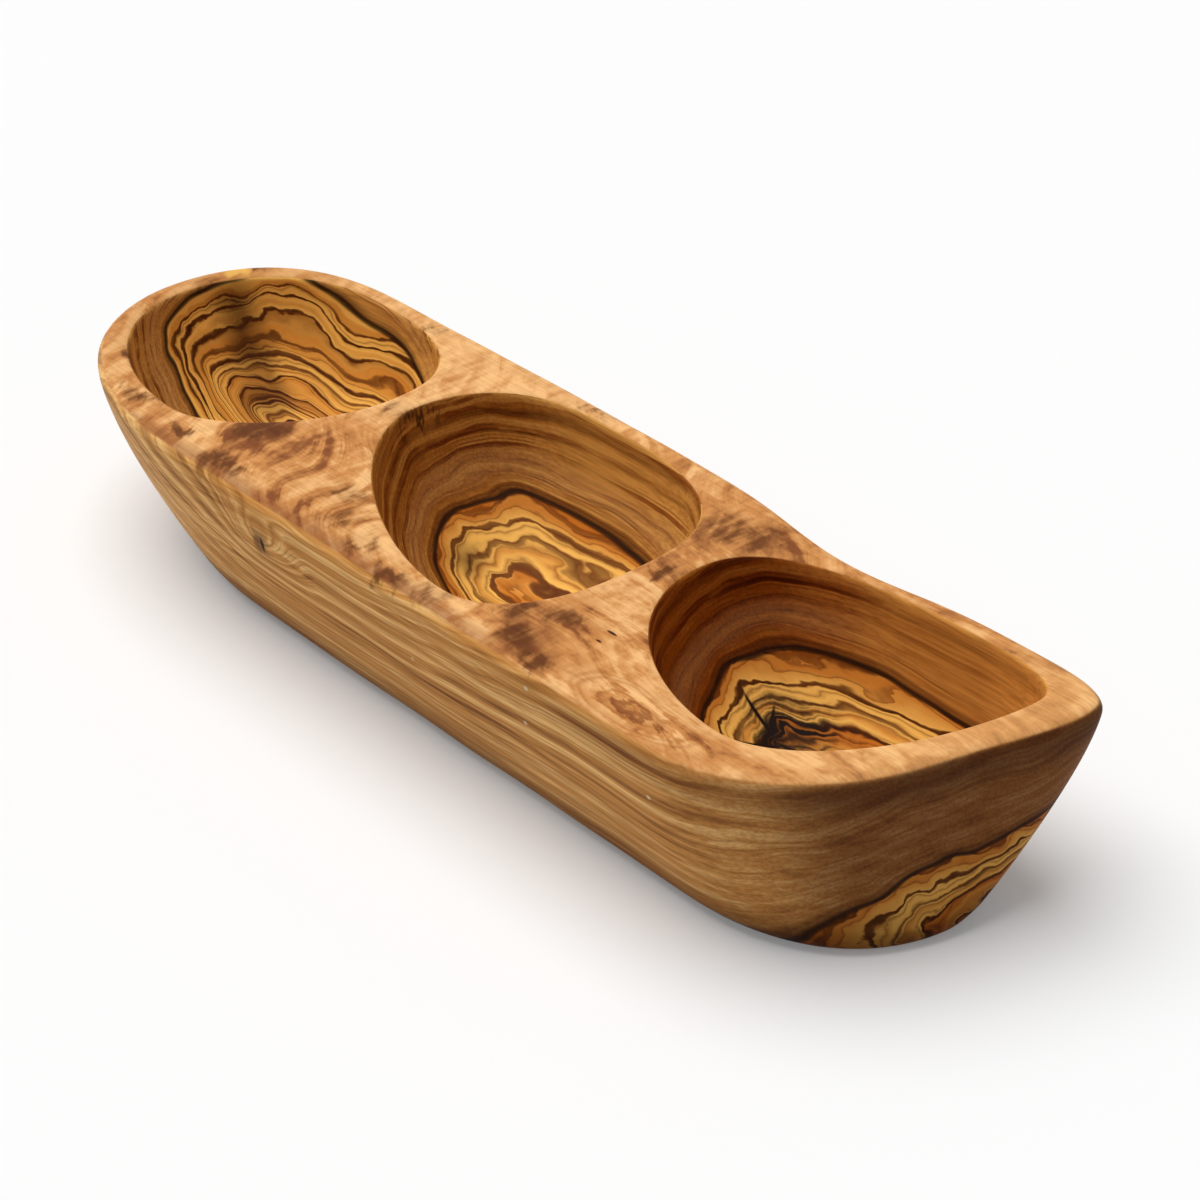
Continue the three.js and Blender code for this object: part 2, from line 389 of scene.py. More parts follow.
def grow_bowl(bowl_made, surround):
    """Grows the flat top in from its surround to the lip, and then the bowl down from the lip."""
    bottom = bowl_made["bottom"]
    rim = rim_towards(bowl_made, surround)
    outward = rim - bottom
    outward /= np.linalg.norm(outward, axis=1)[:, None]
    at = lambda points, height: [Vector((x, y, height)) * MM for x, y in points]
    edge = np.array([(point.x, point.y) for point in surround]) / MM
    ring = start_ring(surround)
    for share in RIM_ROWS:
        ring = grow_ring(ring, at(lerp(edge, rim + outward * LIP_ROUND, share), HEIGHT))
    for turn in LIP_TURNS:
        rise = LIP_ROUND * math.cos(turn * QUARTER_TURN)
        flare = LIP_ROUND * (1 - math.sin(turn * QUARTER_TURN))
        ring = grow_ring(ring, at(rim + outward * flare, WALL_TOP + rise))
    power = 2 / bowl_made["roundness"]
    for turn in BOWL_TURNS:
        reach = math.sin(turn * QUARTER_TURN) ** power
        height = lerp(WALL_TOP, BOWL_FLOOR, math.cos(turn * QUARTER_TURN) ** power)
        ring = grow_ring(ring, at(bottom + (rim - bottom) * reach, height))
    close_ring(ring, 0, len(ring) // 4)


print("bowls go down from", round(HEIGHT), "to", BOWL_FLOOR, "mm")

# %% [markdown]
# The three zones of the top meet along the middle lines of the dividers, where the wood is simply left
# standing. Both neighbours get the same points there, and welding the doubled vertices makes one closed
# skin, with its faces turned outwards.

# %% All three bowls
DIVIDER_STEPS = 14
WELD = 0.01 * MM


def divider_points(start, stop):
    """The middle line of a divider, across the flat top, without its last point."""
    return [start.lerp(stop, step / DIVIDER_STEPS) for step in range(DIVIDER_STEPS)]


first_end = MIDDLE_STEPS
first_back = first_end + END_STEPS
first_nose = first_back + MIDDLE_STEPS
nose_line = divider_points(top_ring[0], top_ring[first_nose])
nose_line_back = divider_points(top_ring[first_nose], top_ring[0])
end_line = divider_points(top_ring[first_end], top_ring[first_back])
end_line_back = divider_points(top_ring[first_back], top_ring[first_end])
middle_front = top_ring[:first_end]
middle_back = top_ring[first_back:first_nose]

grow_bowl(NOSE_BOWL, top_ring[first_nose:] + nose_line)
grow_bowl(MIDDLE_BOWL, middle_front + end_line + middle_back + nose_line_back)
grow_bowl(END_BOWL, top_ring[first_end:first_back] + end_line_back)
bmesh.ops.remove_doubles(tray_mesh, verts=tray_mesh.verts, dist=WELD)
bmesh.ops.recalc_face_normals(tray_mesh, faces=tray_mesh.faces)
open_edges = [edge for edge in tray_mesh.edges if len(edge.link_faces) != 2]
print("whole tray:", len(tray_mesh.faces), "faces,", len(open_edges), "open edges")

# %% [markdown]
# No carved block is true. A slow wave of a quarter of a millimetre along the normals breaks up the
# reflections the way a sanded, hand-held surface does, and leaves the foot flat to stand on.

# %% Hand sanding
WAVE = 0.28 * MM
WAVE_LENGTH = 26 * MM
FOOT_KEPT_FLAT = 2 * MM
tray_mesh.normal_update()
shifts = {
    vert: vert.normal * noise.noise(vert.co / WAVE_LENGTH) * WAVE
    for vert in tray_mesh.verts
    if vert.co.z > FOOT_KEPT_FLAT
}
for vert, shift in shifts.items():
    vert.co += shift
print("sanded", len(shifts), "vertices")

# %% [markdown]
# The mesh so far is a cage of large quads. A subdivision surface rounds it, and stays a modifier so that
# the cage can still be changed. The piece stands for the CAD block and rides on its one body.

# %% The tray as an object
ROUNDING_LEVELS = 2
mesh = bpy.data.meshes.new("carved_tray")
tray_mesh.to_mesh(mesh)
tray_mesh.free()
mesh.shade_smooth()
tray = bpy.data.objects.new("carved_tray", mesh)
bpy.context.scene.collection.objects.link(tray)
rounding = tray.modifiers.new("rounding", "SUBSURF")
rounding.levels = ROUNDING_LEVELS
rounding.render_levels = ROUNDING_LEVELS
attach(tray, "root")
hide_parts("tray_block")
print("tray cage has", len(mesh.polygons), "faces")

# %% [markdown]
# Olive wood is drawn as a solid, the way it grows: a field that says how far each point lies from the
# heart of the branch. Surfaces then only cut through it, so a line that crosses the rim goes on down
# into the bowl. This small class wraps a socket so that the field can be written as plain arithmetic.

# %% Arithmetic on sockets
class Wire:
    """An output socket. Sums on it add Math nodes, and node() adds any other kind."""

    def __init__(self, socket):
        self.socket = socket

    def node(self, kind, settings, inputs, output=0):
        tree = self.socket.id_data
        made = tree.nodes.new(kind)
        for name, value in settings.items():
            setattr(made, name, value)
        for key, value in inputs.items():
            if isinstance(value, Wire):
                tree.links.new(value.socket, made.inputs[key])
            else:
                made.inputs[key].default_value = value
        return Wire(made.outputs[output])

    def other(self, output):
        return Wire(self.socket.node.outputs[output])

    def math(self, operation, *values):
        return self.node("ShaderNodeMath", {"operation": operation}, dict(enumerate(values)))

    def __add__(self, value):
        return self.math("ADD", self, value)

    def __radd__(self, value):
        return self.math("ADD", value, self)

    def __sub__(self, value):
        return self.math("SUBTRACT", self, value)

    def __rsub__(self, value):
        return self.math("SUBTRACT", value, self)

    def __mul__(self, value):
        return self.math("MULTIPLY", self, value)

    def __rmul__(self, value):
        return self.math("MULTIPLY", value, self)

    def __truediv__(self, value):
        return self.math("DIVIDE", self, value)

    def __pow__(self, value):
        return self.math("POWER", self, value)

    def __abs__(self):
        return self.math("ABSOLUTE", self)

    def or_more(self, value):
        return self.math("MAXIMUM", self, value)

    def step(self, low, high):
        """0 at low, 1 at high, and a smooth ramp between. Low may be the larger one."""
        inputs = {"Value": self, "From Min": low, "From Max": high}
        return self.node("ShaderNodeMapRange", {"interpolation_type": "SMOOTHSTEP"}, inputs)

    def mix(self, first, second, blend="MIX"):
        """From the first colour to the second, with this wire as the share of the second."""
        settings = {"data_type": "RGBA", "blend_type": blend}
        return self.node("ShaderNodeMix", settings, {0: self, 6: first, 7: second}, 2)

    def parts(self):
        """The three parts of this vector."""
        first = self.node("ShaderNodeSeparateXYZ", {}, {0: self})
        return first, first.other(1), first.other(2)

    def vector(self, operation, value):
        return self.node("ShaderNodeVectorMath", {"operation": operation}, {0: self, 1: value})

    def moved(self, wobble, reach):
        """This vector, pushed about by a vector of noise, by at most half of reach each way."""
        return self.vector("ADD", wobble.vector("MULTIPLY", reach))

    def turned(self, angle, centre=(0, 0, 0)):
        """This vector turned about an upright axis, by an angle in degrees."""
        inputs = {"Vector": self, "Center": centre, "Angle": math.radians(angle)}
        return self.node("ShaderNodeVectorRotate", {"rotation_type": "Z_AXIS"}, inputs)

    def out_from(self, centre, radii):
        """How far this vector lies from a centre: 1 on the skin of an egg of these radii."""
        inward = self.vector("SUBTRACT", centre).vector("DIVIDE", radii)
        return inward.vector("LENGTH", (0, 0, 0)).other("Value")

    def spot(self, centre, radii, soft=0.5):
        """1 in the middle of such an egg and 0 outside it. Soft is the share of it that fades."""
        return self.out_from(centre, radii).step(1, 1 - soft)

    def grain_noise(self, lengths, detail=2, rough=0.5, output=0, swirl=0):
        """Noise on this vector of millimetres, with features of these lengths along each axis."""
        scaled = self.vector("DIVIDE", lengths)
        inputs = {"Vector": scaled, "Scale": 1, "Detail": detail, "Roughness": rough, "Distortion": swirl}
        return self.node("ShaderNodeTexNoise", {}, inputs, output)

    def wobble(self, lengths, detail=1, rough=0.5):
        """Noise as a vector, centred on zero, to push another vector about with."""
        return self.grain_noise(lengths, detail, rough, 1).vector("SUBTRACT", (0.5, 0.5, 0.5))

    def band_noise(self, detail, rough=0.6):
        """Noise along this value alone, so that it varies from layer to layer and not within one."""
        inputs = {"W": self, "Scale": 1, "Detail": detail, "Roughness": rough}
        return self.node("ShaderNodeTexNoise", {"noise_dimensions": "1D"}, inputs)

    def layer_cells(self):
        """Layers of uneven thickness along this value: a random colour for each one."""
        inputs = {"W": self, "Scale": 1}
        return self.node("ShaderNodeTexVoronoi", {"voronoi_dimensions": "1D"}, inputs, "Color")

    def layer_edges(self):
        """How far this value is from the nearest edge between two layers."""
        settings = {"voronoi_dimensions": "1D", "feature": "DISTANCE_TO_EDGE"}
        return self.node("ShaderNodeTexVoronoi", settings, {"W": self, "Scale": 1})


def paint(text):
    """A colour as seen on screen, such as c8954e, as the linear colour that shaders use."""
    channels = [int(text[i:i + 2], 16) / 255 for i in (0, 2, 4)]
    return *(c / 12.92 if c <= 0.04045 else ((c + 0.055) / 1.055) ** 2.4 for c in channels), 1


print("half grey in linear light:", round(paint("808080")[0], 3))

# %% [markdown]
# Everything in the wood starts from two facts about a point: where it lies in the block, here in
# millimetres, and which way its surface faces. Both are read in the space of the object itself, so
# the pattern stays in the wood when the tray is moved.

# %% Where in the block a point lies
wood = bpy.data.materials.new("olive_wood")
wood.use_nodes = True
board = wood.node_tree.nodes
shader = board["Principled BSDF"]
place = Wire(board.new("ShaderNodeTexCoord").outputs["Object"])
millimetres = place.vector("MULTIPLY", (1 / MM,) * 3)
spot_along, spot_across, level = millimetres.parts()
facing_end, facing_back, upward = place.other("Normal").parts()
print("a place and a direction:", len(board), "nodes")

# %% [markdown]
# One block shows four kinds of surface: the level top, the walls of the bowls, the blunt end and the
# long sides. Each is cut at its own angle to the fibres, so each shows the same wood in another way.
# A wall is told from the outside by whether it faces the middle of its bowl.

# %% Which surface a point is on
on_top = upward.step(0.74, 0.9) * level.step(HEIGHT - 3, HEIGHT - 1.5)
buried = 1 - on_top
bowl_along = sum(
    spot_along.math("GREATER_THAN", spot_along, edge) * (after["bottom"][0] - before["bottom"][0])
    for edge, before, after in (
        (NOSE_DIVIDER_ALONG, NOSE_BOWL, MIDDLE_BOWL), (END_DIVIDER_ALONG, MIDDLE_BOWL, END_BOWL),
    )
) + NOSE_BOWL["bottom"][0]
facing_in = (bowl_along - spot_along) * facing_end - spot_across * facing_back
below_edge = level.step(HEIGHT - 2.6, HEIGHT - 3.6)
in_bowl = upward.step(0, 0.12) * below_edge.or_more(facing_in.step(0, 4))
outside = 1 - in_bowl
end_face = facing_end.step(0.35, 0.78) * spot_along.step(126, 146)
print("top, walls, end and sides told apart:", len(board), "nodes")

# %% [markdown]
# Two sizes of noise bend the growth layers: a slow sway of the whole branch and a wander from ring to
# ring. Both are drawn out along the block, as fibres are.

# %% Bending the layers
sway = millimetres.wobble((85, 34, 30))
wander = millimetres.wobble((30, 12, 10))
bent = millimetres.moved(sway, (16, 14, 8)).moved(wander, (6, 5, 3.5))
along, across, height = bent.parts()
towards_nose = along.step(-42, -125)
towards_end = along.step(0, 90)
in_middle = (1 - towards_nose) * (1 - towards_end)
print("bent layers:", len(board), "nodes")

# %% [markdown]
# The heart of the branch lies low and towards the back, and climbs towards the nose. Around it the
# layers are boxy ovals, leaning a little. The field is 0 at the pith and 1 at the dark line where the
# yellow heartwood stops. In the nose the pith lies off centre, and a knot on the front side and an
# eye on the top push the layers around themselves.

# %% The growth field
LEAN = math.radians(8)
BOXY = 3.2
HEART_ACROSS = 30
HEART_RISE_IN_NOSE = 24
HEART_HALF_WIDTH = 38
FAR_HALF_WIDTH = 60
HEART_HALF_HEIGHT = 24.5
PITH_SHIFT_ACROSS = 5
PITH_SHIFT_DOWN = 12
KNOT = (-41, -50, 37)
KNOT_REACH = (24, 20, 13)
SWIRL = (94, -42, HEIGHT)
SWIRL_REACH = (24, 9, 20)
offset_across = across - (HEART_ACROSS - towards_nose * 9.5)
offset_height = height - towards_nose * HEART_RISE_IN_NOSE
leant_across = offset_across * math.cos(LEAN) + offset_height * math.sin(LEAN)
leant_height = offset_height * math.cos(LEAN) - offset_across * math.sin(LEAN)
near_half_width = HEART_HALF_WIDTH + towards_end * 22 - towards_nose * 12.5
far_out = abs(leant_across).step(42, 72)
half_width = near_half_width + (FAR_HALF_WIDTH - near_half_width) * far_out
half_height = HEART_HALF_HEIGHT + towards_end * 3.3 + towards_nose * 1.5


def oval_about(sideways, upwards):
    """How far out a point lies, from 0 at the pith to 1 at the edge of the heartwood."""
    wide_share = abs(sideways / half_width) ** BOXY
    tall_share = abs(upwards / half_height) ** BOXY
    return (wide_share + tall_share) ** (1 / BOXY)


centred_oval = oval_about(leant_across, leant_height)
off_centre = (1 - centred_oval).or_more(0) * towards_nose
pith_across = leant_across + off_centre * PITH_SHIFT_ACROSS
pith_height = leant_height + off_centre * PITH_SHIFT_DOWN
knot_push = bent.spot(KNOT, KNOT_REACH, 1)
eye_push = bent.spot(SWIRL, SWIRL_REACH, 1)
growth = oval_about(pith_across, pith_height) + knot_push * 0.4 - eye_push * 0.25
in_heart = growth.step(1, 0.985) * buried
print("growth field:", len(board), "nodes")

# %% [markdown]
# Inside the heartwood every layer has its own tone, a dark line at its edge and often a brown shade
# that fades away from that line. A one-dimensional Voronoi texture on the field gives exactly that:
# random cells, the distance to their edges and a random number for each. Thinner lines of a second,
# finer set run between the first. Ripples in the layers grow stronger near the core.

# %% Layers of the heart
RINGS = 10.5
MORE_RINGS_IN_NOSE = 3.5
FINE_LINES_PER_RING = 2.2
ripple = millimetres.grain_noise((26, 10, 9), 1) - 0.5
shiver = millimetres.grain_noise((9, 3, 2.6), 2) - 0.5
core = growth.step(0.75, 0.3)
layers = growth * (RINGS + towards_nose * MORE_RINGS_IN_NOSE) - growth ** 3 * 1.2
layers = layers + ripple * (1.6 + core * 1.8) + shiver * 0.5
cell = layers.layer_cells()
cell_random = cell.node("ShaderNodeSeparateColor", {}, {0: cell}, 1)
shade = (layers - cell.other("W")).step(-0.1, 0.5) * cell_random.step(0.2, 0.9)
line_weight = millimetres.grain_noise((40, 14, 12), 1).step(0.4, 0.64)
bold_line = layers.layer_edges().step(0.13 + line_weight * 0.2, 0)
fine_layers = layers * FINE_LINES_PER_RING + ripple * 1.5
fine_cell = fine_layers.layer_cells()
fine_random = fine_cell.node("ShaderNodeSeparateColor", {}, {0: fine_cell})
fine_line = fine_layers.layer_edges().step(0.34, 0) * fine_random.step(0.2, 0.7)
print("rings and lines:", len(board), "nodes")

# %% [markdown]
# The layers run from amber to pale yellow. Each colour is laid over the last with a mix, from the broad
# tones to the finest lines, as a painter would. The bold lines are red-brown at their edges and nearly
# black along their middles, and softer in the middle bowl.

# %% Colours of the heart
AMBER = paint("ce7826")
BUTTER = paint("ffc562")
NOSE_GOLD = paint("ffbe58")
RUST = paint("803d12")
FINE_BROWN = paint("7a360c")
LINE_BROWN = paint("78320a")
LINE_BLACK = paint("3a1703")
heart_tone = (layers * 0.6).band_noise(2) + core * (in_middle * 0.26 - 0.03)
heart = heart_tone.step(0.36, 0.58).mix(AMBER, BUTTER)
heart = (towards_nose * 0.4).mix(heart, NOSE_GOLD)
heart = (shade * (0.7 - towards_nose * 0.2 - in_middle * 0.25)).mix(heart, RUST)
heart = (fine_line * 0.6).mix(heart, FINE_BROWN)
boldness = (layers * 0.6 + 7).band_noise(1).step(0.38, 0.56)
ink = millimetres.grain_noise((20, 8, 7), 2).step(0.36, 0.6)
heart = (bold_line.step(0, 0.5) * (0.55 + boldness * 0.3)).mix(heart, LINE_BROWN)
line_core = bold_line.step(0.3, 0.85) * (0.3 + boldness * 0.35 + ink * 0.3) * (1 - in_middle * 0.45)
heart = line_core.mix(heart, LINE_BLACK)
print("heartwood:", len(board), "nodes")

# %% [markdown]
# Smoky brown clouds lie over the rings, most of all down the far wall of the nose bowl. Each is a soft egg,
# listed as (centre, radii) and drifting a little with the rings.

# %% Smoke in the heart
SMOKE_BROWN = paint("46230c")
SMOKE = (
    ((-148, 19, 42), (14, 11, 14)), ((-141, 19, 30), (15, 11, 13)), ((-131, 16, 20), (15, 10, 11)),
    ((-30, 8, 15), (10, 8, 8)),
)
drifting = millimetres.moved(wander, (6, 6, 4))
smoke = sum(drifting.spot(centre, radii, 1) for centre, radii in SMOKE)
smoky = smoke * (0.55 + ripple.step(-0.12, 0.12) * 0.3 + fine_line * 0.3)
heart = smoky.mix(heart, SMOKE_BROWN)
print(len(SMOKE), "clouds of smoke:", len(board), "nodes")

# %% [markdown]
# Outside the heart the layers are closer and softer, brown to tan, and long streaks run through them.
# Near the nose and at the back the cut follows the layers, so bands show there more than streaks do.

# %% Outer wood
BROWN = paint("8c5629")
TAN = paint("d6964f")
CREAM = paint("ffca80")
THIN_BROWN = paint("6a3f20")
NOSE_CREAM = paint("f2c484")
CORNER_BROWN = paint("7a4a24")
streak = millimetres.grain_noise((85, 10, 3.4), 4, 0.62)
bands = (growth * 8 + ripple * 0.3).band_noise(4, 0.62)
layered = towards_nose.or_more(across.step(5, 35))
tone = bands * (0.45 + layered * 0.3) + streak * (0.55 - layered * 0.3)
outer = tone.step(0.34, 0.48).mix(BROWN, TAN)
outer = tone.step(0.47, 0.6).mix(outer, CREAM)
thin_line = (growth * 19 + ripple * 0.8).layer_edges().step(0.2, 0) * streak.step(0.42, 0.6)
outer = (thin_line * 0.45).mix(outer, THIN_BROWN)
outer = (towards_nose * 0.35).mix(outer, NOSE_CREAM)
outer = (spot_along.step(95, 150) * level.step(10, 40) * 0.25).mix(outer, CORNER_BROWN)
print("outer wood:", len(board), "nodes")

# %% [markdown]
# The walls of the bowls cut across the fibres, where wood takes up more oil, and look redder and deeper
# in colour, most of all in the end bowl. Walls that look to the nose are golden, those that look to
# the blunt end are darker, and ribbons follow the layers. Part of that is the light in the photograph,
# painted in here because plain soft light gave less difference than it shows.

# %% Walls of the bowls
OILED = paint("dac8a2")
GOLD = paint("eeae56")
END_BOWL_RED = paint("d8a070")
RIBBON_BROWN = paint("9c6238")
DARK_SIDE = paint("d3bf90")
PALE_RING = paint("d0a06a")
in_end_bowl = spot_along.step(48, 60)
past_star = spot_along.step(76, 98)
cloudy_gold = millimetres.grain_noise((44, 20, 14), 3).step(0.4, 0.58) * level.step(24, 44)
lit_side = facing_end.step(0.45, -0.1) * level.step(24, 42)
gold = cloudy_gold * 0.5 + lit_side * 0.8
ribbon = (growth * 9 + ripple * 1.2).band_noise(3, 0.62).step(0.54, 0.38) * streak.step(0.36, 0.6)
dark_side = facing_end.step(0.1, 0.7) * spot_along.step(-90, -45) * (0.5 + in_end_bowl * 0.5)
pale_ring = growth.step(1.06, 1.2) * growth.step(1.45, 1.25) * (1 - past_star)
wall = in_bowl.mix(outer, OILED, "MULTIPLY")
wall = (in_bowl * gold * (0.7 + past_star * 0.2)).mix(wall, GOLD)
wall = (in_bowl * in_end_bowl * (0.6 - past_star * 0.3)).mix(wall, END_BOWL_RED, "MULTIPLY")
wall = (in_bowl * ribbon * (0.8 - past_star * 0.55)).mix(wall, RIBBON_BROWN, "MULTIPLY")
wall = (in_bowl * dark_side).mix(wall, DARK_SIDE, "MULTIPLY")
outer = (in_bowl * pale_ring * 0.22).mix(wall, PALE_RING)
print("bowl walls:", len(board), "nodes")

# %% [markdown]
# The blunt end is end grain, which usually takes up the most oil, and it is the darkest face. A dark
# band lies under its top edge and fades out along the front. Both follow the photograph, and part of
# them may be its shading.

# %% The blunt end
CORNER_TAN = paint("b07a44")
BAND_AND_SHADE_BROWN = paint("6b4024")
END_GRAIN_AND_SHADE = paint("b4a5a0")
END_HEART_AND_SHADE = paint("a88e84")
# The band below the top edge is partly the wood's own darker colour and partly painted shade under the
# rounded edge. It is strongest on the end face.
edge_band_and_shade = level.step(HEIGHT - 13, HEIGHT - 3) * upward.step(0.92, 0.6) * outside
outer = (spot_along.step(100, 140) * outside * 0.4).mix(outer, CORNER_TAN)
outer = (edge_band_and_shade * spot_along.step(35, 95) * (0.3 + end_face * 0.35)).mix(outer, BAND_AND_SHADE_BROWN)
# The end face is multiplied darker, partly for end grain and partly as painted shade, because the end faces
# away from the light.
outer = end_face.mix(outer, END_GRAIN_AND_SHADE, "MULTIPLY")
heart = (end_face * 0.45).mix(heart, END_HEART_AND_SHADE, "MULTIPLY")
print("end grain:", len(board), "nodes")

# %% [markdown]
# On the top, cut level through the outermost layers, the wood is honey coloured. Its figure is cloudy:
# flames that lean across the block near the nose and ridges that run along it past the middle, with
# swirls where the layers run nearly flat and a fine curl across the fibres. It is calm at the back.

# %% Figure of the level top
DUSKY = ((-62, -30, 26), (-25, -42, 24), (52, -36, 24), (50, 31, 24), (-152, 20, 18))
CALM = 0.58
drift = millimetres.moved(sway, (40, 40, 0))
flame = drift.turned(52).grain_noise((34, 6, 60), 4, 0.58, swirl=0.4)
ridge = drift.turned(8).grain_noise((40, 8, 60), 4, 0.58, swirl=0.6)
past_middle = spot_along.step(10, 75)
blot = millimetres.grain_noise((10, 8, 9), 4, 0.65)
cloud = (flame + (ridge - flame) * past_middle) * 0.66 + blot * 0.34
at_back = spot_across.step(-5, 25) * spot_along.step(45, -20)
cloud = cloud + (CALM - cloud) * at_back * 0.55
curl = millimetres.grain_noise((3, 13, 30), 3)
curl_share = 0.18 - past_middle * 0.1
contour = (growth * 5 + cloud * 6).band_noise(2)
swirl_share = 0.08 + eye_push * 0.3
dusk = sum(millimetres.spot((x, y, HEIGHT), (r, r, r), 1) for x, y, r in DUSKY)
top_tone = cloud * (1 - curl_share - swirl_share) + curl * curl_share + contour * swirl_share - dusk * 0.06
print("figure of the top:", len(board), "nodes")

# %% [markdown]
# The figure becomes colour in two steps, brown to honey and honey to pale honey. The rims at both ends
# and the front edge have a tone of their own, and all of it stops where the top rounds over.

# %% Colours of the level top
TOP_BROWN = paint("8a4f29")
HONEY = paint("d28f50")
PALE_HONEY = paint("f8c181")
END_HONEY = paint("f2ba78")
EDGE_BROWN = paint("85492a")
NOSE_TAN = paint("b87a40")
honey = top_tone.step(0.37, 0.49).mix(TOP_BROWN, HONEY)
honey = top_tone.step(0.465, 0.585).mix(honey, PALE_HONEY)
honey = (spot_along.step(118, 150) * 0.28).mix(honey, END_HONEY)
front_edge = spot_across.step(FRONT + 7, FRONT + 2) * spot_along.step(70, 30)
honey = (front_edge * 0.55).mix(honey, EDGE_BROWN)
honey = (spot_along.step(-112, -145) * 0.35).mix(honey, NOSE_TAN)
outer = on_top.mix(outer, honey)
print("level top:", len(board), "nodes")

# %% [markdown]
# Dark patches lie on the top, as they do in curled grain, mostly along the front edge and on the dividers.
# Each is a soft egg whose edge is broken up by noise, listed as its middle and its reach along and across
# the block.

# %% Dark patches on the top
PATCH_BROWN = paint("623617")
PATCH_DEPTH = 9
PATCHES = (
    (-70, -27, 9, 13), (-63, -45, 14, 5), (-84, -42, 10, 4), (-28, -30, 8, 6), (-20, -41, 6, 9),
    (-8, -42, 9, 7), (10, -47, 12, 4), (24, -44, 9, 6), (42, -33, 6, 8), (52, -27, 9, 6),
    (51, -41, 11, 9), (63, -45, 9, 6), (51, 31, 17, 13), (54, 3, 5, 8), (-57, 7, 5, 8),
    (-155, 13, 5, 6), (-151, 34, 7, 7), (-86, 43, 7, 5), (-128, -28, 13, 5), (-108, -39, 10, 4),
    (-20, 46, 14, 4),
)
torn = millimetres.turned(50).wobble((14, 5, 9), 3, 0.6)
patchy = millimetres.moved(torn, (16, 14, 6))
patches = sum(patchy.spot((x, y, HEIGHT), (rx, ry, PATCH_DEPTH), 1) for x, y, rx, ry in PATCHES)
blotch = patches.step(0, 0.8) * (0.2 + (cloud * 0.6 + curl * 0.4).step(0.58, 0.44) * 0.8)
outer = (blotch * 0.88).mix(outer, PATCH_BROWN)
print(len(PATCHES), "patches:", len(board), "nodes")

# %% [markdown]
# Near the blunt end the top cuts through a swirl of layers, which shows as a small eye with rings round
# it. The rings come from the distance to its middle, bent by noise. The nose rim has one pale spot.

# %% An eye and a pale rim on the top
EYE = (92.5, -42, HEIGHT)
EYE_RADII = (22, 8, 22)
EYE_BROWN = paint("a5642f")
PALE_RIM = (-154, 25, HEIGHT)
PALE_RIM_RADII = (7, 7, PATCH_DEPTH)
RIM_GOLD = paint("fcc664")
eye_out = millimetres.moved(wander, (26, 20, 0)).out_from(EYE, EYE_RADII)
eye_lines = (eye_out * 3.6 + blot * 0.8).layer_edges().step(0.3, 0) * eye_out.step(1.6, 0.5)
outer = (eye_lines * on_top * 0.5).mix(outer, EYE_BROWN)
pale_rim = patchy.spot(PALE_RIM, PALE_RIM_RADII, 0.7)
outer = (pale_rim * on_top * 0.7).mix(outer, RIM_GOLD)
print("eye and rim:", len(board), "nodes")

# %% [markdown]
# The growth field mixes heartwood and outer wood, so their border runs on over every surface that cuts
# it. A nearly black line lies on the border, with a brown stain outside it. The level top shows neither.

# %% Heart, outer wood and the line between
STAIN = paint("4a2812")
PARTING = paint("24120a")
outer = (growth.step(1.09, 1) * buried * 0.55).mix(outer, STAIN)
figure = in_heart.mix(outer, heart)
parting_line = growth.step(1.03, 1) * growth.step(0.965, 0.985)
figure = (parting_line * buried * 0.9).mix(figure, PARTING)
print("heart set in the outer wood:", len(board), "nodes")

# %% [markdown]
# A few marks belong to this one block: a knot with a crack on the front side, a black star of drying
# checks in the floor of the end bowl, torn grain under the rim of the middle bowl and stray specks.
# They are too fine and shallow to model, so they are colour on the eggs of Wire.spot.

# %% Knot, star and checks
DARK = paint("1d100a")
KNOT_BROWN = paint("532e18")
KNOT_FACE = (-41.5, -49, 37)
KNOT_RADII = (6, 9, 7)
CRACK = (-41, -49, 36.5)
CRACK_RADII = (0.9, 9, 3.4)
STAR = (88, 16, 15)
STAR_RADII = (26, 13, 11)
STAR_HEART = (84, 14, 14)
STAR_HEART_RADII = (11, 7, 9)
figure = (patchy.spot(KNOT_FACE, KNOT_RADII, 0.9) * 0.75).mix(figure, KNOT_BROWN)
figure = millimetres.spot(CRACK, CRACK_RADII, 0.7).mix(figure, DARK)
star = patchy.spot(STAR, STAR_RADII, 0.8)
all_lines = (fine_line * 1.5 + bold_line + shade).step(0, 0.4)
figure = (star * (0.3 + all_lines * 0.7)).mix(figure, DARK)
star_lines = (layers * 4.5 + ripple * 3).layer_edges().step(0.4, 0)
figure = (star_lines * star * 0.85).mix(figure, DARK)
figure = (patchy.spot(STAR_HEART, STAR_HEART_RADII, 0.9) * 0.85).mix(figure, DARK)
CHECK_WIDTH = 0.7
CHECK_DEPTH = 12
CHECKS = (((77, 13.2, 17), 11, -4), ((83, 8, 13), 9, 55), ((90, 14, 11), 10, 20), ((80, 15, 15), 6, -50))
for centre, reach, turn in CHECKS:
    check = millimetres.turned(-turn, centre).spot(centre, (reach, CHECK_WIDTH, CHECK_DEPTH), 0.6)
    figure = check.mix(figure, DARK)
print(len(CHECKS), "drying checks:", len(board), "nodes")

# %% [markdown]
# A little grain is torn under one rim. Two dark pinholes lie on the top beside the end bowl, and four
# pale specks on the front side.

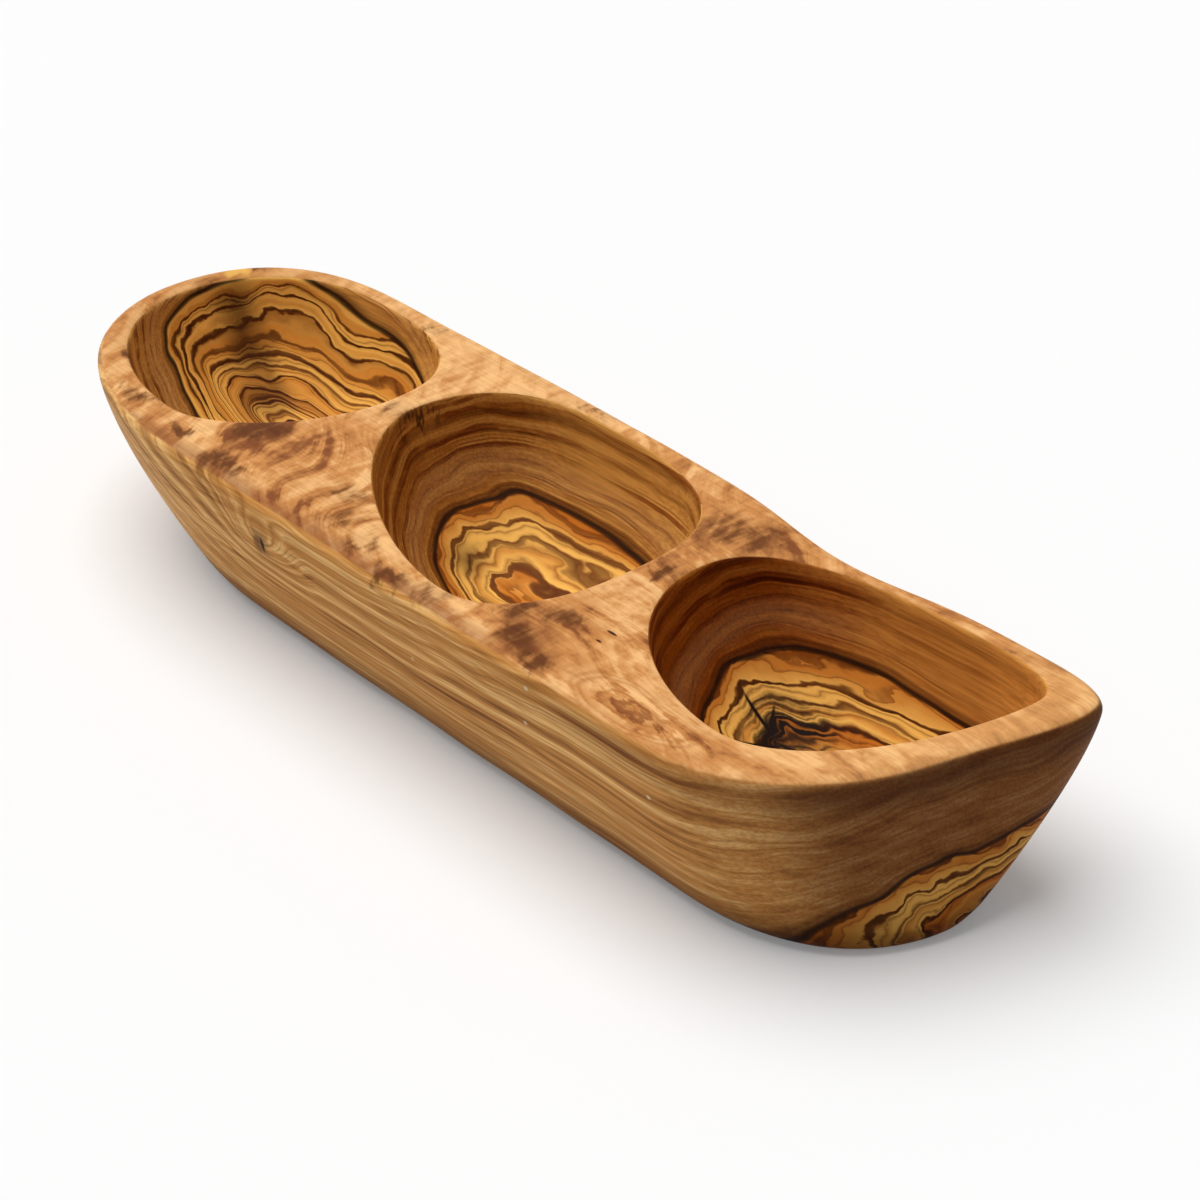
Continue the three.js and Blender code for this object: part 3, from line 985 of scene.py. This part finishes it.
# %% Torn grain and specks
TORN_BROWN = paint("3a2010")
PIN_BROWN = paint("4a2816")
SPECK_CREAM = paint("ecd6ac")
PINHOLES = (((65, -23.7, HEIGHT), (2.2, 0.6, 1)), ((65.5, -28.3, HEIGHT), (1.2, 0.5, 1)))
SPECKS = ((62, 34), (18, 30), (105, 36), (65, 46))
SPECK_RADII = (0.9, 7, 0.8)
TORN_RIM = (-52, 11, 46)
TORN_RADII = (5, 11, 6)
tear = millimetres.grain_noise((2.2, 1.5, 8), 2).step(0.48, 0.56)
torn_rim = millimetres.spot(TORN_RIM, TORN_RADII, 0.6)
figure = (tear * torn_rim * 0.8).mix(figure, TORN_BROWN)
for centre, radii in PINHOLES:
    figure = millimetres.spot(centre, radii).mix(figure, PIN_BROWN)
for x, z in SPECKS:
    figure = (millimetres.spot((x, FRONT, z), SPECK_RADII) * 0.8).mix(figure, SPECK_CREAM)
print(len(PINHOLES), "pinholes and", len(SPECKS), "specks:", len(board), "nodes")

# %% [markdown]
# Last come the fibres, fine lines along the block. They darken the colour, change the gloss and raise
# the surface by a hair. The lowest part of the sides is a shade darker, as in the photograph. The wood
# looks oiled and satin. Its reflection is set lower than real wood has it, because the surround is
# white on every side and would lay a pale veil over the colours.

# %% Fibres and finish
FIBRE_BROWN = paint("8a5a30")
FOOT_SHADE_GREY = paint("9a8c7e")
FIBRE_HEIGHT = 0.1 * MM
FIBRE_STRENGTH = 0.12
SHEEN = 0.04
fibre = millimetres.grain_noise((16, 0.7, 0.7), 3, 0.6)
oil_held = fibre.step(0.38, 0.66) * (0.3 - on_top * 0.12 - in_heart * 0.25)
figure = oil_held.mix(figure, FIBRE_BROWN, "MULTIPLY")
# Painted shade: the lower sides are multiplied darker towards the foot, standing in for the shade near the
# floor.
painted_foot_shade = level.step(16, 0) * upward.step(0.15, -0.05)
figure = painted_foot_shade.mix(figure, FOOT_SHADE_GREY, "MULTIPLY")
roughness = 0.46 + fibre * 0.14
raised = {"Strength": FIBRE_STRENGTH, "Distance": FIBRE_HEIGHT, "Height": fibre}
bump = fibre.node("ShaderNodeBump", {}, raised)
for made, socket in ((figure, "Base Color"), (roughness, "Roughness"), (bump, "Normal")):
    wood.node_tree.links.new(made.socket, shader.inputs[socket])
shader.inputs["Specular IOR Level"].default_value = SHEEN
tray.data.materials.append(wood)
print("olive wood has", len(board), "nodes")

# %% [markdown]
# The tray stands on a sheet of white paper that is large enough to fill the picture. Light Path lets
# the paper differ by who looks. The camera and reflections see it nearly white, with a little glow
# that keeps the shadow light. Other rays see a greyer sheet, because the light from a white one made
# the lower sides of the tray brighter than they are in the photograph.

# %% Floor
FLOOR_SIZE = 6
PAPER = 0.93
PAPER_ROUGHNESS = 0.9
PAPER_SHEEN = 0.1
SHADOW_FILL = 0.16
BOUNCE = 0.7


def grey(value):
    return value, value, value, 1


floor_mesh = bmesh.new()
bmesh.ops.create_grid(floor_mesh, x_segments=1, y_segments=1, size=FLOOR_SIZE / 2)
floor_data = bpy.data.meshes.new("floor")
floor_mesh.to_mesh(floor_data)
floor_mesh.free()
floor = bpy.data.objects.new("floor", floor_data)
bpy.context.scene.collection.objects.link(floor)
paper = bpy.data.materials.new("white_paper")
paper.use_nodes = True
paper_shader = paper.node_tree.nodes["Principled BSDF"]
paper_shader.inputs["Roughness"].default_value = PAPER_ROUGHNESS
paper_shader.inputs["Specular IOR Level"].default_value = PAPER_SHEEN
paper_shader.inputs["Emission Strength"].default_value = 1
camera_ray = Wire(paper.node_tree.nodes.new("ShaderNodeLightPath").outputs["Is Camera Ray"])
viewed = camera_ray + camera_ray.other("Is Glossy Ray") + camera_ray.other("Is Transmission Ray")
glow = viewed.mix(grey(0), grey(SHADOW_FILL))
sheet = viewed.mix(grey(BOUNCE), grey(PAPER * (1 - SHADOW_FILL)))
paper.node_tree.links.new(glow.socket, paper_shader.inputs["Emission Color"])
paper.node_tree.links.new(sheet.socket, paper_shader.inputs["Base Color"])
floor_data.materials.append(paper)
print("floor of", FLOOR_SIZE, "metres")

# %% [markdown]
# The light is a bright even surround with one broad, soft sun high on the left, as from a large
# window. Together they are just strong enough that a white card lying flat would render white, so
# that colours on the level top come out about as they are written.

# %% Light
SURROUND = 0.27
SUN_SHARE = 0.78
SUN_ANGLE = math.radians(60)
SUN_TURN = -78
SUN_RISE = 70


def towards(azimuth, elevation):
    """A direction: azimuth 0 is the front, 90 the blunt end; both are in degrees."""
    turn, rise = math.radians(azimuth), math.radians(elevation)
    return Vector((math.sin(turn) * math.cos(rise), -math.cos(turn) * math.cos(rise), math.sin(rise)))


sun_from = towards(SUN_TURN, SUN_RISE)
sun_data = bpy.data.lights.new("window", "SUN")
sun_data.energy = SUN_SHARE * math.pi / sun_from.z
sun_data.angle = SUN_ANGLE
sun = bpy.data.objects.new("window", sun_data)
sun.rotation_mode = "QUATERNION"
sun.rotation_quaternion = (-sun_from).to_track_quat("-Z", "Y")
bpy.context.scene.collection.objects.link(sun)
world = bpy.data.worlds.new("bright_room")
world.use_nodes = True
surround = world.node_tree.nodes["Background"]
surround.inputs["Color"].default_value = grey(1)
seen = Wire(world.node_tree.nodes.new("ShaderNodeLightPath").outputs["Is Camera Ray"])
mirrored = seen.other("Is Glossy Ray") + seen.other("Is Transmission Ray")
strength = SURROUND + (seen + mirrored) * (1 - SURROUND)
world.node_tree.links.new(strength.socket, surround.inputs["Strength"])
bpy.context.scene.world = world
print("sun of", round(sun_data.energy, 2), "and a surround of", SURROUND)

# %% [markdown]
# The camera looks along the tray from beyond the blunt end, a little from above. Its place, direction
# and distance were found by fitting the outline of the block to the photograph.

# %% Camera
CAMERA_DISTANCE = 758.8 * MM
CAMERA_TURN = 48.8
CAMERA_RISE = 31.5
LENS = 90
SENSOR = 36
CAMERA_TARGET = Vector((21.3, 10.8, 25)) * MM
camera_from = towards(CAMERA_TURN, CAMERA_RISE)
camera_data = bpy.data.cameras.new("camera")
camera_data.lens = LENS
camera_data.sensor_width = SENSOR
camera = bpy.data.objects.new("camera", camera_data)
camera.location = CAMERA_TARGET + camera_from * CAMERA_DISTANCE
camera.rotation_mode = "QUATERNION"
camera.rotation_quaternion = (-camera_from).to_track_quat("-Z", "Y")
bpy.context.scene.collection.objects.link(camera)
bpy.context.scene.camera = camera
bpy.context.scene.view_settings.view_transform = "Standard"
print("camera at", tuple(round(c, 3) for c in camera.location))
